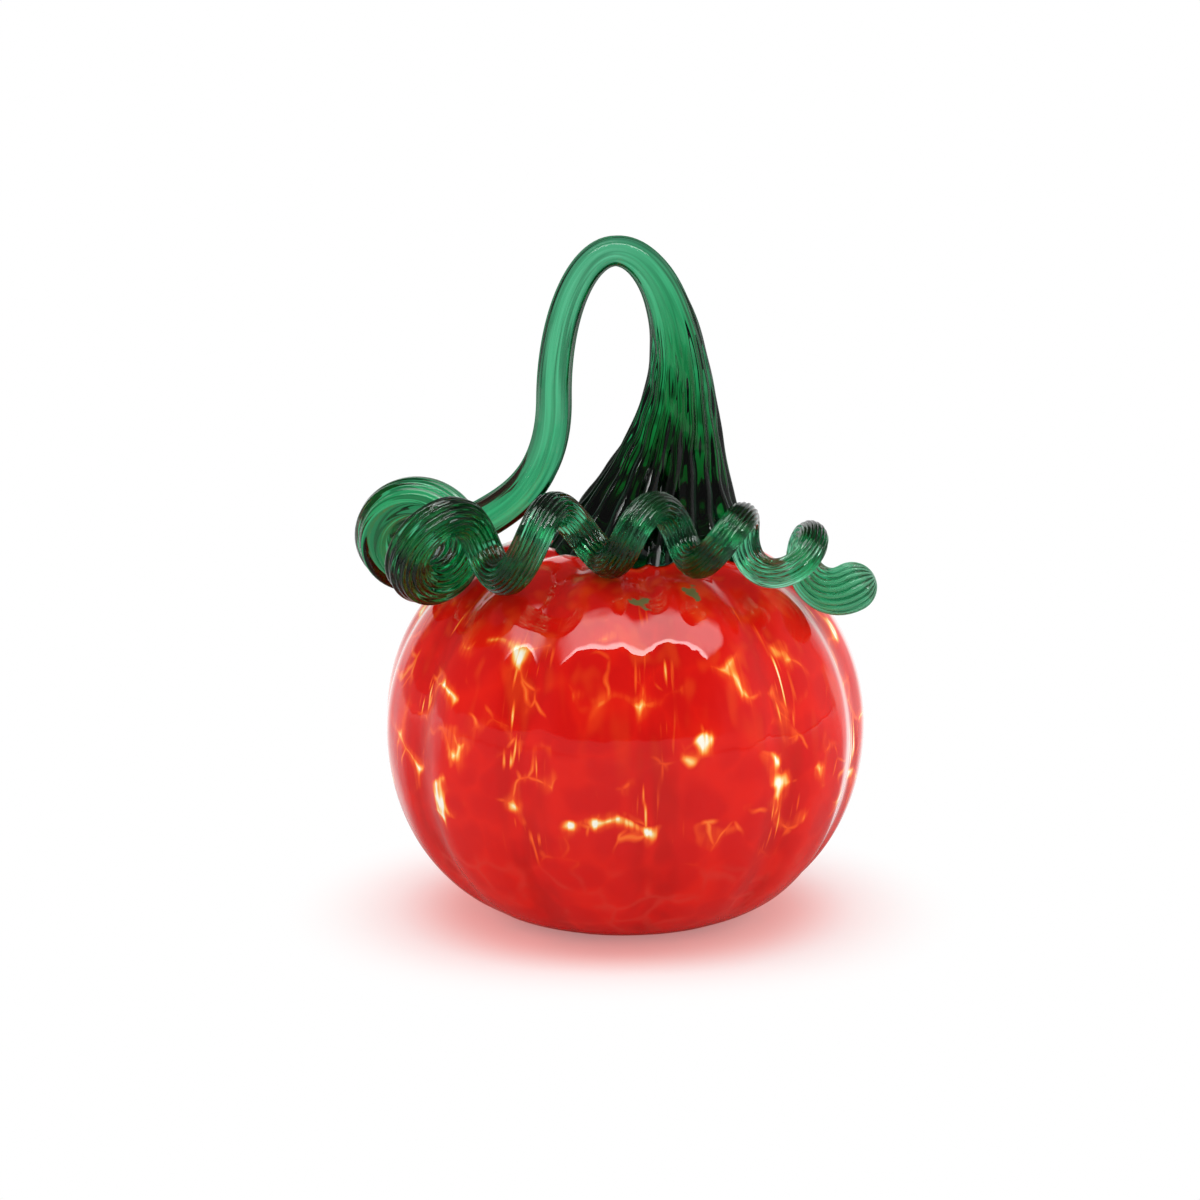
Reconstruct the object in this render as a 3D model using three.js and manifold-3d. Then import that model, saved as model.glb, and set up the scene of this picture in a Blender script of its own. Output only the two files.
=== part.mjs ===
// Hand-blown glass pumpkin: a hollow lobed body, a ribbed stem pulled up into a loop,
// and a corkscrew tendril wound from the stem's thin end.
// Millimetres, +Z up. The origin is the middle of the flat base and the front faces -Y.
import * as THREE from "three";
import { mergeVertices } from "three/addons/utils/BufferGeometryUtils.js";
import Module from "manifold-3d";

const wasm = await Module();
wasm.setup();

const { clamp, degToRad, lerp, mapLinear, smoothstep } = THREE.MathUtils;

// Body: blown in a ribbed mould, paddled flat below and cracked off the pipe above
const BODY_RADIUS = 58.3; // over the lobes
const EQUATOR_HEIGHT = 47; // where the body is widest
const SHOULDER_RISE = 44; // from there to the crest, the ring where the body is tallest
const CREST_HEIGHT = EQUATOR_HEIGHT + SHOULDER_RISE;
const CREST_RADIUS = 20; // inside it the top sinks to the neck
const BASE_RADIUS = 19; // flat that it stands on
const NECK_RADIUS = 9; // hole that the foot of the stem closes
const NECK_SINK = 4; // of the neck's rim below the crest
const WALL = 3.6;
const BASE_WALL = 6;
const LOBE_COUNT = 12;
const LOBE_DEPTH = 1.6; // of the creases between the lobes
const LOBE_SHARPNESS = 2.5; // above 1 the creases are narrower than the lobes
const CREASE_TURN = degToRad(8); // of a crease from the front towards +X
const CREASE_DRIFT = degToRad(5); // furthest that the mould left a crease from its even place
const CREASE_STILL = degToRad(10); // place, from the front towards +X, where they didn't drift
const CREASE_FADE = 16; // height over which the creases grow out of the flat base

// Stem: a ribbed gather set on the neck and drawn out into a loop
const SEAT_GAP = 0.3; // between pieces that touch
const PLUG_DEPTH = 2.2; // that the foot sinks into the neck
const FOOT_OFFSET = 8.2; // of the stem's foot to the right of the body's axis
const FOOT_RADIUS = 24.5; // at the height of the crest
const STEM_TAPER = 6; // growth of its radius from the crown down to the crest, spread evenly
const FLARE = 3.2; // power by which the rest of the growth gathers at the foot
const CROWN_RADIUS = 3.6; // rod at the top of the loop
const CROWN_RISE = 70.6; // of the rod's middle there above the crest
const CROWN_HEIGHT = CREST_HEIGHT + CROWN_RISE;
const CROWN_OFFSET = -2;
const FLANK_OFFSET = 13.2; // furthest that the thick side leans right
const FLANK_SHARE = 0.44; // of the crown's rise, by which that place is below the crown
const LEG_OFFSET = -16.8; // thin side of the loop
const LEG_SHARE = 0.5; // of the crown's rise, by which the leg's upright place is below the crown
const LEG_SWEEP = 0.75; // share of the leg's fall that it goes straight down before it swings left
const LEG_REACH = 12; // handle that brings the leg into the first coil
const RIB_COUNT = 20; // around the stem and the tendril
const RIB_DEPTH = 0.1; // share of the rod's radius

// Tendril: the thin end wound round a mandrel and laid across the front shoulder
const ROD_RADIUS = 5; // where it leaves the stem
const ROD_END_RADIUS = 3.3;
const ROD_SWELL = 0.7; // that its radius gains where the second coil is wound
const SWELL_MIDDLE = 0.2; // share of the rod at which it gains most
const SWELL_REACH = 0.2; // share of the rod on either side over which that fades
const TIP_RADIUS = 6; // bulb at the rounded end
const TIP_SWELL = 0.07; // share of the rod over which the bulb swells
const COIL_RADIUS = 10.3; // to the middle of the rod, where it begins
const COIL_END_RADIUS = 5.6;
const COIL_TAPER = 2.4; // power by which the coils close up
const COIL_TURNS = 6.28;
const COIL_START = degToRad(130); // from the top of the coil towards its right side
const COIL_CLEARANCE = 1.8; // between the coil and the foot of the stem
const COIL_MIDDLE = 0.5; // share of its turns at which it passes the foot
// Run of the coil at even shares of its turns, in shares of the body's radius: how far right of the
// body's axis, how far back from where it passes the foot, and how far below that place
const COIL_RUN = [
  { right: -0.885, back: 0.62, drop: 0.082 },
  { right: -0.7, back: 0.012, drop: 0.07 },
  { right: -0.07, back: 0, drop: 0 },
  { right: 0.47, back: -0.01, drop: 0.034 },
  { right: 0.89, back: 0.322, drop: 0.211 },
];

// Facets
const LOBE_FACETS = 6; // around each lobe
const OUTSIDE_FACETS = 7; // along each curve of the body's outline
const INSIDE_FACETS = 4;
const STEM_STEPS = 38;
const TENDRIL_STEPS = 84;
const TIP_STEPS = 4;
const SAMPLES = 400; // points measured along a curve
const LAYING_ROUNDS = 8; // corrections of the coil's height

const ELLIPSE = 0.5523; // handle length of a quarter ellipse
const MERGE = 1e-4; // distance within which vertices are one
const UP = new THREE.Vector3(0, 0, 1);
const CENTRE = new THREE.Vector3(0, 0, EQUATOR_HEIGHT);

const onAxis = (height) => new THREE.Vector2(0, height);

// One face of the wall as radius and height, from the foot of the bulge to the rim of the neck.
function wallOutline(inset, footHeight, facets) {
  const widest = BODY_RADIUS - inset;
  const crest = CREST_HEIGHT - inset;
  const rim = crest - NECK_SINK;
  const dip = (CREST_RADIUS - NECK_RADIUS) / 2;
  const path = new THREE.Path();
  path.moveTo(BASE_RADIUS, footHeight);
  path.bezierCurveTo(
    lerp(BASE_RADIUS, widest, ELLIPSE),
    footHeight,
    widest,
    lerp(EQUATOR_HEIGHT, footHeight, ELLIPSE),
    widest,
    EQUATOR_HEIGHT,
  );
  path.bezierCurveTo(
    widest,
    lerp(EQUATOR_HEIGHT, crest, ELLIPSE),
    lerp(CREST_RADIUS, widest, ELLIPSE),
    crest,
    CREST_RADIUS,
    crest,
  );
  path.bezierCurveTo(CREST_RADIUS - dip, crest, NECK_RADIUS + dip, rim, NECK_RADIUS, rim);
  return path.getPoints(facets);
}

// Presses the creases in towards the middle of the body, fading out at the flat base, and moves
// them off their even places.
function lobed(geometry) {
  const position = geometry.getAttribute("position");
  const point = new THREE.Vector3();
  for (let i = 0; i < position.count; i++) {
    point.fromBufferAttribute(position, i);
    const turn = Math.atan2(point.x, -point.y);
    const crease = Math.cos((LOBE_COUNT * (turn - CREASE_TURN)) / 2) ** 2;
    const depth = LOBE_DEPTH * crease ** LOBE_SHARPNESS * smoothstep(point.z, 0, CREASE_FADE);
    point.sub(CENTRE).multiplyScalar(1 - depth / BODY_RADIUS);
    point.add(CENTRE).applyAxisAngle(UP, CREASE_DRIFT * Math.sin(turn - CREASE_STILL));
    position.setXYZ(i, point.x, point.y, point.z);
  }
  return geometry;
}

function revolved(outline) {
  const turned = new THREE.LatheGeometry(outline, LOBE_COUNT * LOBE_FACETS, CREASE_TURN);
  return lobed(turned.rotateX(Math.PI / 2));
}

function bodyGeometry() {
  const outside = wallOutline(0, 0, OUTSIDE_FACETS);
  const inside = wallOutline(WALL, BASE_WALL, INSIDE_FACETS).reverse();
  return revolved([onAxis(0), ...outside, ...inside, onAxis(BASE_WALL)]);
}

// Top of the body with its interior filled, and a pocket where the foot sinks into the neck.
function seatGeometry() {
  const upper = wallOutline(0, 0, OUTSIDE_FACETS).slice(OUTSIDE_FACETS);
  const rim = upper.pop();
  rim.x -= SEAT_GAP;
  const floor = rim.y - PLUG_DEPTH;
  const pocket = [rim, new THREE.Vector2(rim.x, floor), onAxis(floor)];
  return revolved([onAxis(EQUATOR_HEIGHT), ...upper, ...pocket]).translate(0, 0, SEAT_GAP);
}

// Left-handed coil round a curved run: over the top it moves away from the front.
class Corkscrew extends THREE.Curve {
  constructor(run) {
    super();
    this.run = run;
    this.arcLengthDivisions = SAMPLES;
  }

  getPoint(t, target = new THREE.Vector3()) {
    const along = this.run.getTangent(t);
    const top = UP.clone().addScaledVector(along, -along.z).normalize();
    const side = new THREE.Vector3().crossVectors(top, along);
    const angle = COIL_START + 2 * Math.PI * COIL_TURNS * t;
    const radius = coilRadius(t);
    target.copy(this.run.getPoint(t));
    target.addScaledVector(top, radius * Math.cos(angle));
    return target.addScaledVector(side, radius * Math.sin(angle));
  }
}

function coilRadius(share) {
  return COIL_END_RADIUS + (COIL_RADIUS - COIL_END_RADIUS) * (1 - share) ** COIL_TAPER;
}

function rodRadius(share) {
  const bulb = (TIP_RADIUS - ROD_END_RADIUS) * smoothstep(share, 1 - TIP_SWELL, 1);
  const away = Math.min(Math.abs(share - SWELL_MIDDLE) / SWELL_REACH, 1);
  return lerp(ROD_RADIUS, ROD_END_RADIUS, share) + ROD_SWELL * (1 - away ** 2) ** 2 + bulb;
}

// Radius of the stem by its height, below the crown.
function stemRadius(height) {
  const share = (CROWN_HEIGHT - height) / CROWN_RISE;
  const flared = FOOT_RADIUS - CROWN_RADIUS - STEM_TAPER;
  return CROWN_RADIUS + STEM_TAPER * share + flared * share ** FLARE;
}

// Furthest that the flared foot pushes out a coil of a given reach at a given height.
function footReach(height, reach) {
  const pushes = Array.from({ length: SAMPLES }, (_, i) => {
    const angle = mapLinear(i, 0, SAMPLES - 1, -Math.PI / 2, Math.PI / 2);
    return stemRadius(height + reach * Math.sin(angle)) + reach * Math.cos(angle);
  });
  return Math.max(...pushes);
}

// Run of the coil across the front, raised by lift.
function coilRun(lift) {
  const reach = coilRadius(COIL_MIDDLE) + rodRadius(COIL_MIDDLE);
  const height = CREST_HEIGHT + reach + lift;
  const front = footReach(height, reach) + COIL_CLEARANCE;
  const stations = COIL_RUN.map(({ right, back, drop }) => {
    return new THREE.Vector3(right, back, -drop).multiplyScalar(BODY_RADIUS);
  });
  const passing = new THREE.Vector3(0, -front, height);
  return new THREE.CatmullRomCurve3(stations.map((p) => p.add(passing)), false, "catmullrom");
}

// Distance from the middle of the body to the crowns of its lobes, at an angle above the equator.
function bodyReach(outline, angle) {
  const elevation = (p) => Math.atan2(p.y - EQUATOR_HEIGHT, p.x);
  const reach = (p) => Math.hypot(p.y - EQUATOR_HEIGHT, p.x);
  const next = outline.findIndex((p) => elevation(p) >= angle);
  if (next < 1) return reach(next === 0 ? outline[0] : outline.at(-1));
  const [a, b] = [outline[next - 1], outline[next]];
  return mapLinear(angle, elevation(a), elevation(b), reach(a), reach(b));
}

// Least distance between the rod of a coil and the crowns of the lobes.
function coilClearance(coil, outline) {
  const gaps = coil.getPoints(SAMPLES).map((point, i) => {
    const angle = Math.atan2(point.z - EQUATOR_HEIGHT, Math.hypot(point.x, point.y));
    return point.distanceTo(CENTRE) - bodyReach(outline, angle) - rodRadius(i / SAMPLES);
  });
  return Math.min(...gaps);
}

// Lowers or lifts the coil until it rests on the shoulder.
function laidCoil() {
  const outline = wallOutline(0, 0, SAMPLES);
  let lift = 0;
  for (let round = 0; round < LAYING_ROUNDS; round++) {
    lift += SEAT_GAP - coilClearance(new Corkscrew(coilRun(lift)), outline);
  }
  return new Corkscrew(coilRun(lift));
}

// Least distance between rods of the coil that lie half a turn apart or more.
function leastGap(coil) {
  const points = coil.getPoints(SAMPLES);
  const apart = Math.ceil(SAMPLES / COIL_TURNS / 2);
  let least = Infinity;
  for (let i = 0; i < points.length; i++) {
    for (let j = i + apart; j < points.length; j++) {
      const rods = rodRadius(i / SAMPLES) + rodRadius(j / SAMPLES);
      least = Math.min(least, points[i].distanceTo(points[j]) - rods);
    }
  }
  return least;
}

// Quarter ellipse from a point where the stem stands upright to one where it lies level.
function archHandles(upright, level) {
  return [
    new THREE.Vector3(upright.x, 0, lerp(upright.z, level.z, ELLIPSE)),
    new THREE.Vector3(lerp(level.x, upright.x, ELLIPSE), 0, level.z),
  ];
}

// Middle line of the stem, from the neck round the loop to where the coil begins.
function stemLine(coil) {
  const crown = new THREE.Vector3(CROWN_OFFSET, 0, CROWN_HEIGHT);
  const start = new THREE.Vector3(FOOT_OFFSET, 0, CREST_HEIGHT - NECK_SINK - 2 * PLUG_DEPTH);
  const flank = new THREE.Vector3(FLANK_OFFSET, 0, crown.z - FLANK_SHARE * CROWN_RISE);
  const leg = new THREE.Vector3(LEG_OFFSET, 0, crown.z - LEG_SHARE * CROWN_RISE);
  const onward = coil.getTangent(0);
  const end = coil.getPoint(0).addScaledVector(onward, -SEAT_GAP);
  const rise = (flank.z - start.z) / 3;
  const [flankUp, crownRight] = archHandles(flank, crown);
  const [legUp, crownLeft] = archHandles(leg, crown);
  const line = new THREE.CurvePath();
  line.arcLengthDivisions = SAMPLES;
  line.add(
    new THREE.CubicBezierCurve3(
      start,
      start.clone().addScaledVector(UP, rise),
      flank.clone().addScaledVector(UP, -rise),
      flank,
    ),
  );
  line.add(new THREE.CubicBezierCurve3(flank, flankUp, crownRight, crown));
  line.add(new THREE.CubicBezierCurve3(crown, crownLeft, legUp, leg));
  line.add(
    new THREE.CubicBezierCurve3(
      leg,
      leg.clone().addScaledVector(UP, LEG_SWEEP * (end.z - leg.z)),
      end.clone().addScaledVector(onward, -LEG_REACH),
      end,
    ),
  );
  return line;
}

// Rod turned from its radii at even steps, ribbed, and bent along a curve.
function bentRod(curve, steps, radiusAt, tip = []) {
  const length = curve.getLength();
  const rings = Array.from({ length: steps + 1 }, (_, i) => {
    return new THREE.Vector2(radiusAt(i / steps), (length * i) / steps);
  });
  const beyond = tip.length ? tip : [new THREE.Vector2(0, 0)];
  const outline = [onAxis(0), ...rings, ...beyond.map((p) => new THREE.Vector2(p.x, length + p.y))];
  const { tangents, normals, binormals } = curve.computeFrenetFrames(steps);
  const rod = new THREE.LatheGeometry(outline, 2 * RIB_COUNT);
  const position = rod.getAttribute("position");
  for (let i = 0; i < position.count; i++) {
    const share = clamp(position.getY(i) / length, 0, 1);
    const step = Math.round(share * steps);
    const column = Math.floor(i / outline.length);
    const ribbed = 1 - RIB_DEPTH * (column % 2);
    const point = curve.getPointAt(share);
    point.addScaledVector(tangents[step], position.getY(i) - share * length);
    point.addScaledVector(binormals[step], ribbed * position.getX(i));
    point.addScaledVector(normals[step], ribbed * position.getZ(i));
    position.setXYZ(i, point.x, point.y, point.z);
  }
  return rod;
}

function tendrilGeometry(coil) {
  const tip = Array.from({ length: TIP_STEPS }, (_, i) => {
    const angle = ((i + 1) / TIP_STEPS) * (Math.PI / 2);
    return new THREE.Vector2(TIP_RADIUS * Math.cos(angle), TIP_RADIUS * Math.sin(angle));
  });
  tip.at(-1).x = 0;
  return bentRod(coil, TENDRIL_STEPS, rodRadius, tip);
}

function solidOf(geometry) {
  const bare = new THREE.BufferGeometry();
  bare.setAttribute("position", geometry.getAttribute("position"));
  bare.setIndex(geometry.getIndex());
  const merged = mergeVertices(bare, MERGE);
  const vertProperties = merged.getAttribute("position").array;
  const triVerts = new Uint32Array(merged.getIndex().array);
  return new wasm.Manifold(new wasm.Mesh({ numProp: 3, vertProperties, triVerts }));
}

function geometryOf(solid) {
  const mesh = solid.getMesh();
  const geometry = new THREE.BufferGeometry();
  geometry.setAttribute("position", new THREE.BufferAttribute(mesh.vertProperties, 3));
  return geometry.setIndex(new THREE.BufferAttribute(mesh.triVerts, 1));
}

// The foot flares out over the neck and is cut to the shape of the body that it sits on.
function stemGeometry(coil) {
  const line = stemLine(coil);
  const length = line.getLength();
  const toCrown = line.getCurveLengths()[1] / length;
  const start = line.getPoint(0).z;
  const radiusAt = (share) => {
    if (share < toCrown) return stemRadius(mapLinear(share, 0, toCrown, start, CROWN_HEIGHT));
    return lerp(CROWN_RADIUS, ROD_RADIUS, smoothstep(share, toCrown, 1));
  };
  const rod = bentRod(line, STEM_STEPS, radiusAt);
  return geometryOf(solidOf(rod).subtract(solidOf(seatGeometry())));
}

const redGlass = new THREE.MeshStandardMaterial({ color: 0xc61a10, roughness: 0.06, metalness: 0 });
const greenGlass = new THREE.MeshStandardMaterial({ color: 0x1f7a4c, roughness: 0.05, metalness: 0 });

const pumpkin = new THREE.Group();

function addPiece(name, geometry, material) {
  const mesh = new THREE.Mesh(geometry, material);
  mesh.name = name;
  pumpkin.add(mesh);
}

const coil = laidCoil();
console.log(`tendril's least gap to itself: ${leastGap(coil).toFixed(2)} mm`);

addPiece("body", bodyGeometry(), redGlass);
addPiece("stem", stemGeometry(coil), greenGlass);
addPiece("tendril", tendrilGeometry(coil), greenGlass);

export default pumpkin;
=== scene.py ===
"""Hand-blown glass pumpkin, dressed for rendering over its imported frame.

Lengths in the pieces and their finishes are millimetres in the frame's own axes: +Z up, the front towards
-Y and the origin in the middle of the flat base. Meshes and the whole studio are in metres.
"""
import logging
import math
from dataclasses import dataclass, field
from enum import Enum
from functools import reduce

import bpy
import numpy as np
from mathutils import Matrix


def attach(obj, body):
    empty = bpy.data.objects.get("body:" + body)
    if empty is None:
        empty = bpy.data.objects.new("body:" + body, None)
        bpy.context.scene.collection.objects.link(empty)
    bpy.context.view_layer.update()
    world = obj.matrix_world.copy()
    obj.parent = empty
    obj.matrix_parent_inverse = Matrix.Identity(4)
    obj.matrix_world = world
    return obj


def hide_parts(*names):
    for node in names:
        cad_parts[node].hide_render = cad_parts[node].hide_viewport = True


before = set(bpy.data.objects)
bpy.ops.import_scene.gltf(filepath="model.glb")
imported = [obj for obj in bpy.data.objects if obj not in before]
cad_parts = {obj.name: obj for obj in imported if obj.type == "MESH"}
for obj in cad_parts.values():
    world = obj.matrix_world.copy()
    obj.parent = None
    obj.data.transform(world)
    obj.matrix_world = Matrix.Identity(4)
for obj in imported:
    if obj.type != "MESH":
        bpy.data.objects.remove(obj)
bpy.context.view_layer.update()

MM = 0.001
QUARTER_ELLIPSE = 0.5523  # handle length of a cubic curve that draws a quarter ellipse
ROOT = "root"  # the one body of a row without joints
GRAIN = "grain"  # mesh attribute: place round and along the rod, or nearness to a crease of the body
RIB_COUNT = 20  # ribs of the green gather
EVEN_FACING = 0.5  # blend of a Layer Weight node that leaves its facing value as it is
MIX_SHARE, MIX_FIRST, MIX_SECOND, MIX_RESULT = 0, 6, 7, 2  # colour sockets of a Mix node
FILL_TILT = math.radians(70.0)
WHITE = (1.0, 1.0, 1.0)
NOISE_MIDDLE = (0.5, 0.5, 0.5)
UP = np.array([0.0, 0.0, 1.0])
ACROSS = np.array([1.0, 0.0, 0.0])

Array = np.ndarray
Socket = bpy.types.NodeSocket
Feed = Socket | str | float | int | tuple
Colour = tuple[float, float, float]
Point = tuple[float, float, float]
Range = tuple[float, float]
Spans = tuple[tuple[str, Range], ...]  # names of kept outputs with the ranges that they are eased over
Stops = tuple[tuple[float, Colour], ...]

log = logging.getLogger("pumpkin")


class Slot(Enum):
    """Material slots of the record."""

    RED_GLASS = "red_glass"
    GREEN_GLASS = "green_glass"


class Solid(Enum):
    """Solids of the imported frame."""

    BODY = "body"
    STEM = "stem"
    TENDRIL = "tendril"


def smoothstep(value: Array | float, low: float, high: float) -> Array:
    """Eases from 0 at low to 1 at high.

    Args:
        value: Values to ease.
        low: Value that gives 0.
        high: Value that gives 1.

    Returns:
        Eased shares.
    """
    share = np.clip((np.asarray(value) - low) / (high - low), 0.0, 1.0)
    return share * share * (3.0 - 2.0 * share)


def unit(vectors: Array) -> Array:
    """Scales vectors along the last axis to length one."""
    return vectors / np.linalg.norm(vectors, axis=-1, keepdims=True)


def lengths_along(points: Array) -> Array:
    """Gives the length of a line from its first point to each of its points."""
    steps = np.linalg.norm(np.diff(points, axis=0), axis=1)
    return np.concatenate([[0.0], np.cumsum(steps)])


def bezier(handles: list, count: int) -> Array:
    """Samples a cubic curve.

    Args:
        handles: Start, two handles and end.
        count: Number of points.

    Returns:
        Points of the curve, one a row.
    """
    share = np.linspace(0.0, 1.0, count)[:, None]
    start, first, second, end = (np.asarray(handle, dtype=float) for handle in handles)
    rest = 1.0 - share
    return rest**3 * start + 3 * rest**2 * share * first + 3 * rest * share**2 * second + share**3 * end


def put(name: str, data: bpy.types.ID) -> bpy.types.Object:
    """Adds an object to the scene.

    Args:
        name: Name of the object.
        data: Its mesh, lamp or camera.

    Returns:
        The new object.
    """
    holder = bpy.data.objects.new(name, data)
    bpy.context.collection.objects.link(holder)
    return holder


def loft(name: str, rings: Array, poles: tuple[Array, Array], sharp: float, grain: Array) -> bpy.types.Object:
    """Skins closed rings into one closed mesh.

    Args:
        name: Name of the new object.
        rings: Points by ring and column, in millimetres.
        poles: Points before the first ring and behind the last one.
        sharp: Angle in radians above which an edge stays sharp.
        grain: Vectors by ring and column that the material reads.

    Returns:
        The new object, in metres.
    """
    rows, columns = rings.shape[:2]
    first = np.arange(rows * columns).reshape(rows, columns)
    after = np.roll(first, -1, axis=1)
    quads = np.stack([first[:-1], after[:-1], after[1:], first[1:]], axis=-1).reshape(-1, 4)
    start_pole, end_pole = rows * columns, rows * columns + 1
    fans = [(start_pole, int(b), int(a)) for a, b in zip(first[0], after[0])]
    fans += [(end_pole, int(a), int(b)) for a, b in zip(first[-1], after[-1])]
    points = np.vstack([rings.reshape(-1, 3), *poles]) * MM
    mesh = bpy.data.meshes.new(name)
    mesh.from_pydata(points.tolist(), [], quads.tolist() + fans)
    mesh.shade_smooth()
    mesh.set_sharp_from_angle(angle=sharp)
    marks = np.vstack([grain.reshape(-1, 3), grain[0].mean(axis=0), grain[-1].mean(axis=0)])
    mesh.attributes.new(GRAIN, "FLOAT_VECTOR", "POINT").data.foreach_set("vector", marks.ravel())
    return put(name, mesh)


@dataclass(frozen=True)
class Waves:
    """Noise that a finish is varied with."""

    name: str
    place: str  # name of the kept output that it is read at
    size: float  # length of the waves, in the unit of that place
    detail: float = 2.0  # number of finer layers
    stretch: Point = (1.0, 1.0, 1.0)  # factors on the place, so that a small one draws the waves out


@dataclass(frozen=True)
class Layer:
    """Colour that is laid over others as far as all of its spans let it."""

    colour: Colour
    spans: Spans
    share: float = 1.0


class NodeSheet:
    """Node tree of a material, a lamp or the world, with short calls that add and join nodes.

    Outputs can be kept by name, and such a name is fed like the output itself.
    """

    def __init__(self, tree: bpy.types.NodeTree) -> None:
        """Empties the tree.

        Args:
            tree: Node tree to fill.
        """
        self.nodes = tree.nodes
        self.links = tree.links
        self.kept: dict[str, Socket] = {}
        self.nodes.clear()

    def feed(self, socket: Socket, value: Feed) -> None:
        """Links a socket to an output, or sets its value.

        Args:
            socket: Input to feed.
            value: Output or the name that it is kept by, number, vector or colour.
        """
        value = self.kept[value] if isinstance(value, str) else value
        if isinstance(value, Socket):
            self.links.new(value, socket)
        elif isinstance(value, tuple) and socket.type == "RGBA":
            socket.default_value = (*value, 1.0)
        else:
            socket.default_value = value

    def add(self, kind: str, feeds: dict | tuple = (), **settings: object) -> bpy.types.Node:
        """Adds a node.

        Args:
            kind: Node type without its ShaderNode prefix.
            feeds: What its inputs are fed, by their names or numbers, or in order.
            **settings: Properties of the node.

        Returns:
            The new node.
        """
        node = self.nodes.new(f"ShaderNode{kind}")
        for name, value in settings.items():
            setattr(node, name, value)
        for key, value in feeds.items() if isinstance(feeds, dict) else enumerate(feeds):
            self.feed(node.inputs[key], value)
        return node

    def math(self, operation: str, *values: Feed) -> Socket:
        """Adds a math node and gives its result."""
        return self.add("Math", values, operation=operation).outputs["Value"]

    def vector(self, operation: str, *values: Feed, output: str = "Vector") -> Socket:
        """Adds a vector math node and gives its result, which some operations call Value."""
        return self.add("VectorMath", values, operation=operation).outputs[output]

    def product(self, *values: Feed) -> Socket:
        """Multiplies values."""
        return reduce(lambda total, value: self.math("MULTIPLY", total, value), values)

    def largest(self, *values: Feed) -> Socket:
        """Gives the largest of some values."""
        return reduce(lambda best, value: self.math("MAXIMUM", best, value), values)

    def scaled(self, vector: Feed, factors: Point) -> Socket:
        """Stretches a vector along its axes."""
        return self.vector("MULTIPLY", vector, factors)

    def split(self, vector: Feed) -> tuple[Socket, ...]:
        """Gives the three parts of a vector."""
        return tuple(self.add("SeparateXYZ", (vector,)).outputs)

    def span(self, value: Feed, reach: Range) -> Socket:
        """Eases a value from 0 at the first end of a range to 1 at the second."""
        feeds = {"Value": value, "From Min": reach[0], "From Max": reach[1]}
        return self.add("MapRange", feeds, interpolation_type="SMOOTHSTEP").outputs["Result"]

    def within(self, spans: Spans, share: float = 1.0) -> Socket:
        """Multiplies kept outputs, each eased over its own range, and a share."""
        return self.product(*(self.span(name, reach) for name, reach in spans), share)

    def noise(self, waves: Waves, output: str = "Fac") -> Socket:
        """Reads noise that lies about 0.5, as a number or, with Color, as a vector."""
        read = {"Vector": self.scaled(waves.place, waves.stretch), "Detail": waves.detail}
        return self.add("TexNoise", {**read, "Scale": 1.0 / waves.size}).outputs[output]

    def keep_noises(self, table: tuple[Waves, ...]) -> None:
        """Reads noises and keeps each of them by its name."""
        self.kept.update({waves.name: self.noise(waves) for waves in table})

    def keep_glass(self) -> None:
        """Keeps what both kinds of glass read: how the surface faces the view, and the mesh's grain."""
        self.kept["facing"] = self.add("LayerWeight", {"Blend": EVEN_FACING}).outputs["Facing"]
        self.kept["grain"] = self.add("Attribute", attribute_name=GRAIN).outputs["Vector"]

    def blend(self, share: Feed, first: Feed, second: Feed) -> Socket:
        """Mixes two colours by the share of the second."""
        feeds = {MIX_SHARE: share, MIX_FIRST: first, MIX_SECOND: second}
        return self.add("Mix", feeds, data_type="RGBA").outputs[MIX_RESULT]

    def laid(self, layer: Layer, base: Feed) -> Socket:
        """Lays a layer over a colour."""
        return self.blend(self.within(layer.spans, layer.share), base, layer.colour)

    def ramp(self, value: Feed, stops: Stops) -> Socket:
        """Colours a value.

        Args:
            value: Value from 0 to 1.
            stops: Positions with their colours, in order.

        Returns:
            The colour at the value.
        """
        node = self.add("ValToRGB", {"Fac": value})
        elements = node.color_ramp.elements
        while len(elements) < len(stops):
            elements.new(0.5)
        for element, (position, colour) in zip(elements, stops):
            element.position = position
            element.color = (*colour, 1.0)
        return node.outputs["Color"]

    def mixed(self, share: Feed, first: bpy.types.Node, second: bpy.types.Node) -> bpy.types.Node:
        """Mixes two shaders by the share of the second."""
        return self.add("MixShader", (share, first.outputs[0], second.outputs[0]))

    def with_cast(self, surface: bpy.types.Node, colour: Feed) -> bpy.types.Node:
        """Lets the lamps' light through a surface, so that its shadow is coloured."""
        shade = self.add("BsdfTransparent", {"Color": colour})
        return self.mixed(self.add("LightPath").outputs["Is Shadow Ray"], surface, shade)


def node_material(name: str) -> tuple[bpy.types.Material, NodeSheet]:
    """Starts a node material.

    Args:
        name: Name of the material.

    Returns:
        The material and its empty node sheet.
    """
    material = bpy.data.materials.new(name)
    material.use_nodes = True
    return material, NodeSheet(material.node_tree)


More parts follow.
